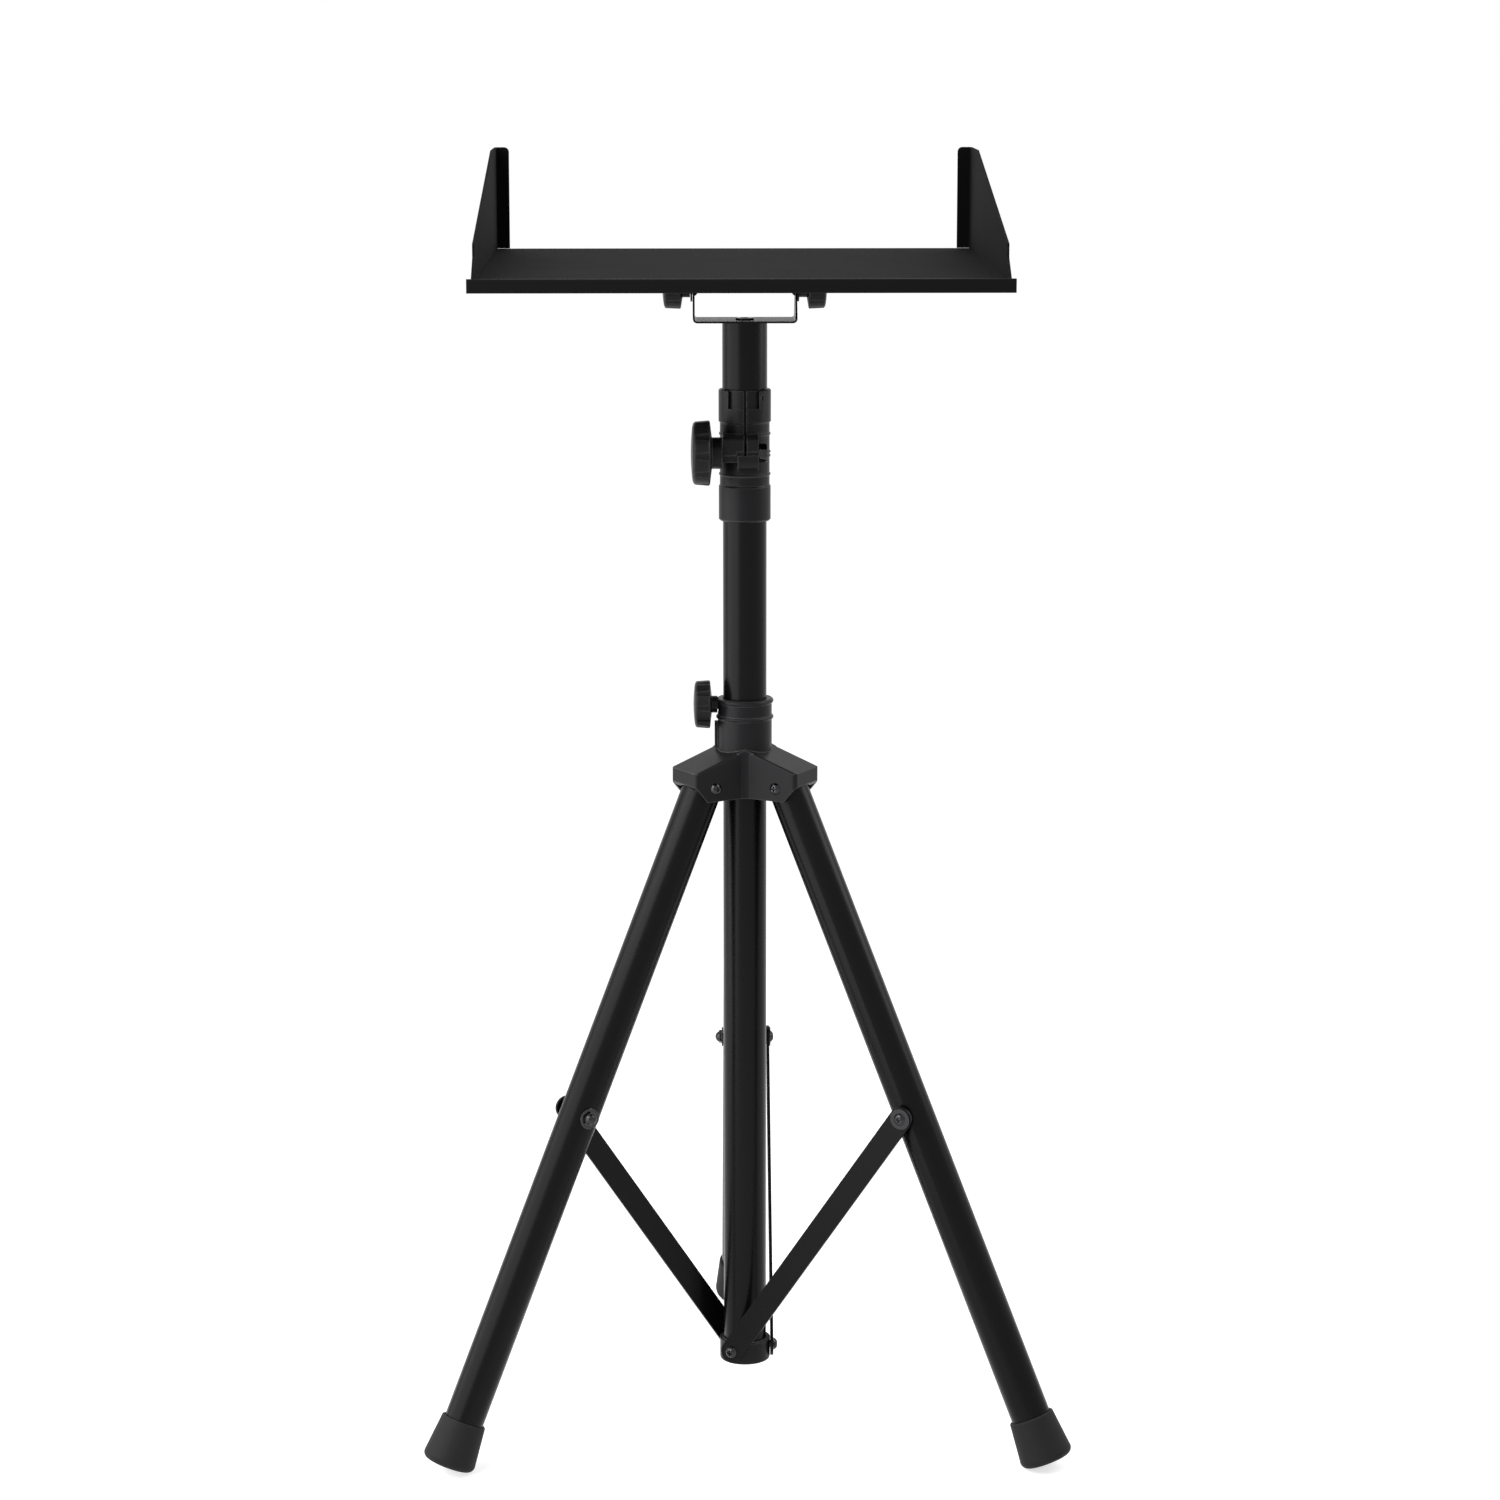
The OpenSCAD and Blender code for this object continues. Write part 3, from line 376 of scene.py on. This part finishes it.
# %% [markdown]
# ## Fasteners
# The CAD bolts are plain round heads. In mesh code they get cross recesses, chamfered nuts,
# washers with rounded rims and real threads. Each new fastener replaces its CAD node and fills
# the same space. A fastener is a stack of rings round its own axis, and a ring's radius may
# change with the angle, which makes a hexagon, a cross or a thread. Cutting the recesses with
# booleans would also work, but rings give clean faces and are quick.

# %% Outlines of rings
HEX_FACE = math.pi / 3
TINY = 1e-6


def hexagon(flat):
    return lambda a: flat / math.cos((a + HEX_FACE / 2) % HEX_FACE - HEX_FACE / 2)


def cross(reach, half):
    def at(a):
        c, s = abs(math.cos(a)) + TINY, abs(math.sin(a)) + TINY
        return max(min(reach / c, half / s), min(reach / s, half / c))
    return at


def radius_at(outline, a):
    return outline(a) if callable(outline) else outline


def inside(first, second):
    return lambda a: min(radius_at(first, a), radius_at(second, a))


print("a hexagon's corner stands at", round(hexagon(1.0)(math.pi / 6), 3), "times its flat")

# %% [markdown]
# The rings are then joined by faces, one band between each two rings, and both ends are closed.

# %% Rings round an axis become a mesh
STEPS = 48


def turn_up(bm, rows, place):
    rings = []
    for outline, height in rows:
        ring = []
        for i in range(STEPS):
            a = 2 * math.pi * i / STEPS
            r = radius_at(outline, a)
            spot = Vector((r * math.cos(a) * MM, r * math.sin(a) * MM, height * MM))
            ring.append(bm.verts.new(place @ spot))
        rings.append(ring)
    for lower, upper in zip(rings, rings[1:]):
        for i in range(STEPS):
            j = (i + 1) % STEPS
            bm.faces.new((lower[i], lower[j], upper[j], upper[i]))
    bm.faces.new(list(reversed(rings[0])))
    bm.faces.new(rings[-1])


print("a ring has", STEPS, "points")

# %% [markdown]
# **Round heads.** The dome is part of a ball. The cross recess starts at a mouth just wider than
# its reach, narrows on the way down and ends in a point. Its sizes are shares of the reach and of
# the head's height. A shank starts with a small chamfer.

# %% Rings of shanks and round heads
CHAMFER = 0.3
HEAD_LIP = 0.15
DOME_STEPS = 8
EDGE_STEP = 0.1
MOUTH = 1.06
SLOT_TOP, SLOT_DEEP, REACH_DEEP = 0.3, 0.22, 0.7
RECESS_DEPTH, POINT_DEPTH, POINT_RADIUS = 0.55, 0.7, 0.05


def shank(radius, start, end):
    return [(radius - CHAMFER, start), (radius, start + CHAMFER), (radius, end)]


def round_head(base, radius, height, reach):
    ball = (radius ** 2 + height ** 2) / (2 * height)
    mouth = reach * MOUTH
    rows = [(radius - HEAD_LIP, base)]
    for i in range(DOME_STEPS + 1):
        r = radius - (radius - mouth) * i / DOME_STEPS
        rows.append((r, base + max(EDGE_STEP, height - ball + math.sqrt(ball ** 2 - r ** 2))))
    top = rows[-1][1]
    rows.append((cross(reach, reach * SLOT_TOP), top - EDGE_STEP))
    rows.append((cross(reach * REACH_DEEP, reach * SLOT_DEEP), top - RECESS_DEPTH * height))
    rows.append((POINT_RADIUS, top - POINT_DEPTH * height))
    return rows


print("a head has", len(round_head(0, 5, 3, 1.5)), "rings")

# %% [markdown]
# **Washers, nuts and threads.** A washer's rim is broken by a small chamfer. A nut's corners are
# cut back at both faces, where a hexagon is held inside a circle. A thread's ridge climbs one
# pitch per turn, so each ring's radius depends on its height and on the angle.

# %% Rings of washers, nuts and threads
CORNER_CUT, CUT_HEIGHT = 0.9, 0.14
HOLE_EDGE = 0.4
RIDGE_DEPTH = 0.45
RINGS_PER_PITCH = 6


def washer(base, radius, thick):
    return [(radius - CHAMFER, base), (radius, base + CHAMFER),
            (radius, base + thick - CHAMFER), (radius - CHAMFER, base + thick)]


def nut(base, corner, height, hole):
    side = hexagon(corner * math.cos(math.pi / 6))
    cut = inside(side, corner * CORNER_CUT)
    return [(cut, base), (side, base + CUT_HEIGHT * height),
            (side, base + (1 - CUT_HEIGHT) * height), (cut, base + height),
            (hole + HOLE_EDGE, base + height), (hole, base + height - HOLE_EDGE)]


def ridge(radius, pitch, z):
    def at(a):
        turn = (z / pitch - a / (2 * math.pi)) % 1.0
        return radius - RIDGE_DEPTH * pitch * abs(2 * turn - 1)
    return at


def thread(radius, pitch, start, end):
    count = int((end - start) / pitch * RINGS_PER_PITCH)
    heights = [start + (end - start) * i / count for i in range(count + 1)]
    return [(ridge(radius, pitch, z), z) for z in heights]


print("a thread of 10 turns has", len(thread(4.0, 1.0, 0.0, 10.0)), "rings")

# %% [markdown]
# A fastener is made from stacks of rings, each with the place and direction of its axis. It rides
# on the body of the CAD node that it replaces. Faces are smooth except across sharp edges.

# %% Place stacks of rings, and say what they replace
SHARP_EDGE = 32


def pointing(origin, direction):
    turned = Vector(direction).to_track_quat("Z", "Y").to_matrix().to_4x4()
    return Matrix.Translation(Vector(origin) * MM) @ turned


def fastener(name, body, stacks, replaced):
    bm = bmesh.new()
    for place, rows in stacks:
        turn_up(bm, rows, place)
    bmesh.ops.recalc_face_normals(bm, faces=bm.faces)
    mesh = bpy.data.meshes.new(name)
    bm.to_mesh(mesh)
    bm.free()
    mesh.materials.append(BOLT)
    for face in mesh.polygons:
        face.use_smooth = True
    mesh.set_sharp_from_angle(angle=math.radians(SHARP_EDGE))
    made = bpy.data.objects.new(name, mesh)
    bpy.context.scene.collection.objects.link(made)
    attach(made, body)
    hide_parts(*replaced)
    return made


print("fasteners can be placed")

# %% [markdown]
# All lengths of the fasteners are in millimetres. First come the places of the pivots, and then
# the distances of faces from the middle plane of a leg: the hub's arm, the leg's own side, and
# the inner and outer face of the brace's bar. The small lengths after them keep parts a little
# short of a face, or sunk in one, as each name says.

# %% Sizes of the bolts on the legs, braces and cap
PIVOT_R, PIVOT_Z, BRACE_AT, CAP_PIN_Z = 38.7, 537.5, 282.5, 57.0
ARM_SIDE, LEG_SIDE, BAR_IN, BAR_OUT = 20.0, 16.15, 21.05, 23.55
CX, CY = AXIS_X / MM, AXIS_Y / MM
BOLT_R = 3.0
SPACER_R, SPACER_GAP, HEAD_GAP = 6.5, 0.3, 0.3
PIVOT_SHORT, CAP_SHANK_FROM, LEG_SHANK_PAST = 0.5, 15.0, 1
STUB_SHORT, STUB_SUNK, DOME_SUNK = 0.2, 0.1, 0.2
WASHER = {"radius": 8.5, "thick": 1.2}
LEG_NUT = {"corner": 6.0, "height": 2.2, "hole": 4.4}
PIVOT_HEAD = {"radius": 4.8, "height": 3.2, "reach": 2.2}
CAP_HEAD = {"radius": 5.2, "height": 3.6, "reach": 2.4}
BRACE_HEAD = {"radius": 5.2, "height": 3.0, "reach": 2.4}
NUT_DOME = {"radius": 4.8, "height": 3.4, "reach": 0.5}
print("pivots stand", PIVOT_R, "mm from the column axis")

# %% [markdown]
# The brace bolt belongs to the leg: its shank, a spacer that keeps the bar off the leg, and a
# washer and a domed nut on the other side. Its head and washer ride on the brace, with a stub of
# shank, because the linkage is open at this bolt.

# %% Stacks of the brace bolt
def brace_head_stacks(joint, side):
    return [(pointing(joint, side), washer(BAR_OUT, **WASHER)),
            (pointing(joint, side), round_head(BAR_OUT + WASHER["thick"], **BRACE_HEAD)),
            (pointing(joint, side), [(BOLT_R, BAR_IN + STUB_SHORT), (BOLT_R, BAR_OUT + STUB_SUNK)])]


def brace_nut_stacks(joint, side):
    spacer_end = BAR_IN - SPACER_GAP
    nut_base = LEG_SIDE + WASHER["thick"]
    dome_base = nut_base + LEG_NUT["height"] - DOME_SUNK
    shank_rows = [(BOLT_R, -LEG_SIDE - LEG_SHANK_PAST), (BOLT_R, LEG_SIDE)]
    spacer_rows = washer(LEG_SIDE, SPACER_R, spacer_end - LEG_SIDE)
    return [(pointing(joint, side), shank_rows + spacer_rows + [(BOLT_R, spacer_end)]),
            (pointing(joint, -side), washer(LEG_SIDE, **WASHER)),
            (pointing(joint, -side), nut(nut_base, **LEG_NUT)),
            (pointing(joint, -side), round_head(dome_base, **NUT_DOME))]


print("a brace's bolt has", len(brace_nut_stacks(Vector((0, 0, 0)), Vector((1, 0, 0)))), "stacks")

# %% [markdown]
# The three legs are alike, so one loop makes the bolts at the hub, at the braces and at the cap
# on the column's lower end. The hub's bolt has a head at each end.

# %% Bolts on the legs, braces and cap
made_bolts = []
for leg, turn in LEGS.items():
    out = Vector((math.cos(math.radians(turn)), math.sin(math.radians(turn)), 0))
    side = Vector((out.y, -out.x, 0))
    pivot = Vector((CX, CY, PIVOT_Z)) + out * PIVOT_R
    lean = math.radians(LEG_ANGLE)
    joint = pivot + (out * math.sin(lean) - Vector((0, 0, 1)) * math.cos(lean)) * BRACE_AT
    cap = Vector((CX, CY, CAP_PIN_Z))
    pivot_rows = shank(BOLT_R, -ARM_SIDE + PIVOT_SHORT, ARM_SIDE) + round_head(ARM_SIDE, **PIVOT_HEAD)
    cap_base = BAR_OUT + HEAD_GAP
    cap_rows = shank(BOLT_R, CAP_SHANK_FROM, cap_base) + round_head(cap_base, **CAP_HEAD)
    made_bolts.append(fastener("pivot_bolt_" + leg, "hub", [
        (pointing(pivot, side), pivot_rows),
        (pointing(pivot, -side), round_head(ARM_SIDE, **PIVOT_HEAD))], ["hub_pin_" + leg]))
    made_bolts.append(fastener("cap_bolt_" + leg, "mast", [
        (pointing(cap, side), cap_rows)], ["cap_pin_" + leg]))
    made_bolts.append(fastener("brace_head_" + leg, "brace_" + leg,
                               brace_head_stacks(joint, side), ["brace_screw_" + leg]))
    made_bolts.append(fastener("brace_nut_" + leg, "leg_" + leg,
                               brace_nut_stacks(joint, side), ["brace_bolt_" + leg]))
print("made", len(made_bolts), "bolts on the legs")

# %% [markdown]
# The clamp bolt runs through the collar's ears to a nut. Its place and length are read from the
# CAD node's box, so it follows the model.

# %% Bolt on the collar
COLLAR_NUT = {"corner": 7.5, "height": 6.5, "hole": 4.2}
COLLAR_THREAD = {"radius": 4.0, "pitch": 1.25, "end": -0.2}


def centre(node):
    a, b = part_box(node)
    return (a + b) / 2 / MM


collar = centre("clamp_bolt")
low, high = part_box("clamp_bolt")
nut_face = high.x / MM
collar_place = pointing((nut_face, collar.y, collar.z), (1, 0, 0))
made_bolts.append(fastener("clamp_bolt_threaded", "mast", [
    (collar_place, nut(-COLLAR_NUT["height"], **COLLAR_NUT)),
    (collar_place, thread(start=low.x / MM - nut_face, **COLLAR_THREAD))], ["clamp_bolt"]))
print("the clamp bolt is", round((high.x - low.x) / MM, 1), "mm long")

# %% [markdown]
# The U bracket is held on the socket tube by a rivet with a low dished head. Its rings are given
# as radius and height, counted from the head's top.

# %% Rivet of the U bracket
RIVET_R, RIVET_HEAD_THICK = 4.0, 1.2
RIVET_HEAD = [(7.3, -RIVET_HEAD_THICK), (7.5, -1.0), (7.5, -0.6), (7.2, -0.2), (6.6, 0.0),
              (3.4, 0.0), (2.6, -0.3)]

fork_low, fork_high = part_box("fork_bolt")
rivet_rows = [(RIVET_R, (fork_low.z - fork_high.z) / MM), (RIVET_R, -RIVET_HEAD_THICK)] + RIVET_HEAD
made_bolts.append(fastener("fork_bolt_rivet", "head", [
    (pointing((CX, CY, fork_high.z / MM), (0, 0, 1)), rivet_rows)], ["fork_bolt"]))
print("the rivet is", round((fork_high.z - fork_low.z) / MM, 1), "mm long")

# %% [markdown]
# The tray tilts on two bolts in the arms of the U bracket. Their heads are inside the bracket,
# and the tilt knobs sit on their outer ends.

# %% Tilt bolts
TILT_HEAD = {"radius": 4.7, "height": 3.0, "reach": 2.2}

for hand, sign in (("left", -1), ("right", 1)):
    low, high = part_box("tilt_bolt_" + hand)
    middle = centre("tilt_bolt_" + hand)
    inner, outer = sorted((abs(low.x), abs(high.x)))
    head_base = -(inner / MM + TILT_HEAD["height"])
    tilt_rows = shank(BOLT_R, -outer / MM, head_base) + round_head(head_base, **TILT_HEAD)
    made_bolts.append(fastener("tilt_bolt_cross_" + hand, "head", [
        (pointing((CX, middle.y, middle.z), (-sign, 0, 0)), tilt_rows)], ["tilt_bolt_" + hand]))
print("each tilt bolt is", round((outer - inner) / MM, 1), "mm long")

# %% [markdown]
# Four small bolts hold the bracket under the tray. Only their nuts and thread ends show, pointing
# down, at the corners of a rectangle round the column axis.

# %% Tray bolts
TRAY_BOLT_X, TRAY_BOLT_Y = 28, 21
TRAY_NUT = {"base": 1.8, "corner": 4.0, "height": 3.2, "hole": 2.2}
TRAY_THREAD = {"radius": 2.0, "pitch": 0.7, "start": 0.0, "end": 5.8}

low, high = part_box("tray_bolts")
tray_stacks = []
for x in (-TRAY_BOLT_X, TRAY_BOLT_X):
    for y in (-TRAY_BOLT_Y, TRAY_BOLT_Y):
        bolt_place = pointing((CX + x, CY + y, high.z / MM), (0, 0, -1))
        tray_stacks.append((bolt_place, nut(**TRAY_NUT)))
        tray_stacks.append((bolt_place, thread(**TRAY_THREAD)))
made_bolts.append(fastener("tray_nuts", "tray", tray_stacks, ["tray_bolts"]))
print("made", len(made_bolts), "fasteners in all")

# %% [markdown]
# ## Camera
# The camera stands 3 m in front of the column, a little higher than the tray, and looks 11 degrees
# down, as in the photograph. It is turned a little round the column, which shows the legs
# slightly turned. A long lens keeps the perspective flat.

# %% Camera
CAMERA_SIDE, CAMERA_BACK, CAMERA_HEIGHT = 0.0042, 3.034, 1.152
CAMERA_TURN, CAMERA_DOWN = -1.1, 11.0
SENSOR_MM, LENS_MM = 36.0, 91.56
NEAREST, FARTHEST = 0.1, 100.0


def make_camera():
    turn = math.radians(CAMERA_TURN)
    spot = Matrix.Rotation(turn, 3, "Z") @ Vector((CAMERA_SIDE, -CAMERA_BACK, CAMERA_HEIGHT))
    data = bpy.data.cameras.new("Camera")
    data.sensor_width, data.lens = SENSOR_MM, LENS_MM
    data.clip_start, data.clip_end = NEAREST, FARTHEST
    camera = bpy.data.objects.new("Camera", data)
    camera.location = (AXIS_X + spot.x, AXIS_Y + spot.y, spot.z)
    camera.rotation_euler = (math.radians(90 - CAMERA_DOWN), 0, turn)
    bpy.context.scene.collection.objects.link(camera)
    bpy.context.scene.camera = camera
    return camera


CAMERA = make_camera()
print("camera at", [round(v, 3) for v in CAMERA.location])

# %% [markdown]
# ## White studio
# The stand is on a white floor in a white surround, with two large soft lights on the left and
# one on the right. Black gloss shows mostly what it mirrors, so the lights' places decide where
# each tube gets its bright band. The white comes from what a ray sees and not from more light:
# rays from the camera, mirrored rays and see-through rays meet white, and all others meet a
# weaker level that lights the stand.

# %% Rays that show the background
def looked_at(tree):
    path = add(tree, "ShaderNodeLightPath")
    first = add(tree, "ShaderNodeMath", {"operation": "MAXIMUM"})
    both = add(tree, "ShaderNodeMath", {"operation": "MAXIMUM"})
    join(tree,
         (path.outputs["Is Camera Ray"], first.inputs[0]),
         (path.outputs["Is Glossy Ray"], first.inputs[1]),
         (first.outputs[0], both.inputs[0]),
         (path.outputs["Is Transmission Ray"], both.inputs[1]))
    return both.outputs[0]


def grey(value):
    return (value, value, value, 1)


print("background rays are told apart")

# %% [markdown]
# To those rays the floor is part matt and part glow, which add up to white in the open and still
# darken a little where the stand keeps light off it.

# %% Floor
FLOOR_SIZE = 30
FLOOR_MATT, FLOOR_SHADED, FLOOR_GLOW = 0.8, 0.7, 0.63


def make_floor():
    bpy.ops.mesh.primitive_plane_add(size=FLOOR_SIZE, location=(0, 0, 0))
    floor = bpy.context.object
    floor.name = "floor"
    material = bpy.data.materials.new("white_floor")
    material.use_nodes = True
    tree = material.node_tree
    tree.nodes.clear()
    matt = add(tree, "ShaderNodeBsdfDiffuse", Color=grey(FLOOR_MATT))
    shaded = add(tree, "ShaderNodeBsdfDiffuse", Color=grey(FLOOR_SHADED))
    glow = add(tree, "ShaderNodeEmission", Color=grey(1), Strength=FLOOR_GLOW)
    white = add(tree, "ShaderNodeAddShader")
    mix = add(tree, "ShaderNodeMixShader")
    out = add(tree, "ShaderNodeOutputMaterial")
    join(tree,
         (shaded.outputs[0], white.inputs[0]),
         (glow.outputs[0], white.inputs[1]),
         (looked_at(tree), mix.inputs[0]),
         (matt.outputs[0], mix.inputs[1]),
         (white.outputs[0], mix.inputs[2]),
         (mix.outputs[0], out.inputs["Surface"]))
    floor.data.materials.append(material)
    return floor


FLOOR = make_floor()
print("made the", FLOOR.name)

# %% [markdown]
# The surround works in the same way: it looks white, and lights the stand at about half of that.

# %% Surround
SURROUND_SEEN, SURROUND_FELT = 1.0, 0.55


def make_world():
    world = bpy.data.worlds.new("studio")
    bpy.context.scene.world = world
    world.use_nodes = True
    tree = world.node_tree
    tree.nodes.clear()
    seen = add(tree, "ShaderNodeBackground", Color=grey(1), Strength=SURROUND_SEEN)
    felt = add(tree, "ShaderNodeBackground", Color=grey(1), Strength=SURROUND_FELT)
    mix = add(tree, "ShaderNodeMixShader")
    out = add(tree, "ShaderNodeOutputWorld")
    join(tree,
         (looked_at(tree), mix.inputs[0]),
         (felt.outputs[0], mix.inputs[1]),
         (seen.outputs[0], mix.inputs[2]),
         (mix.outputs[0], out.inputs["Surface"]))


make_world()
print("made the surround, felt at", SURROUND_FELT)

# %% [markdown]
# The left lights are low and high beside the legs and the tray, and the right one is narrow and
# tall for the thin line along the right of each tube. Places and sizes are in metres.

# %% Soft lights
def softbox(name, place, aim, width, height, watts):
    light = bpy.data.lights.new(name, "AREA")
    light.shape = "RECTANGLE"
    light.size, light.size_y = width, height
    light.energy = watts
    lamp = bpy.data.objects.new(name, light)
    lamp.location = place
    lamp.rotation_euler = (Vector(aim) - Vector(place)).to_track_quat("-Z", "Y").to_euler()
    bpy.context.scene.collection.objects.link(lamp)


softbox("left_softbox", place=(-1.2, -0.55, 0.6), aim=(0, AXIS_Y, 0.6), width=1.8, height=1.2, watts=17)
softbox("high_left_softbox", place=(-1.2, -0.85, 1.75), aim=(0, AXIS_Y, 1.0), width=1.9, height=1.2,
        watts=31)
softbox("right_softbox", place=(1.3, 0.05, 1.5), aim=(0, AXIS_Y, 1.0), width=0.7, height=1.6, watts=13)
bpy.context.scene.view_settings.view_transform = "Standard"
print("studio has", len(bpy.data.lights), "lights")
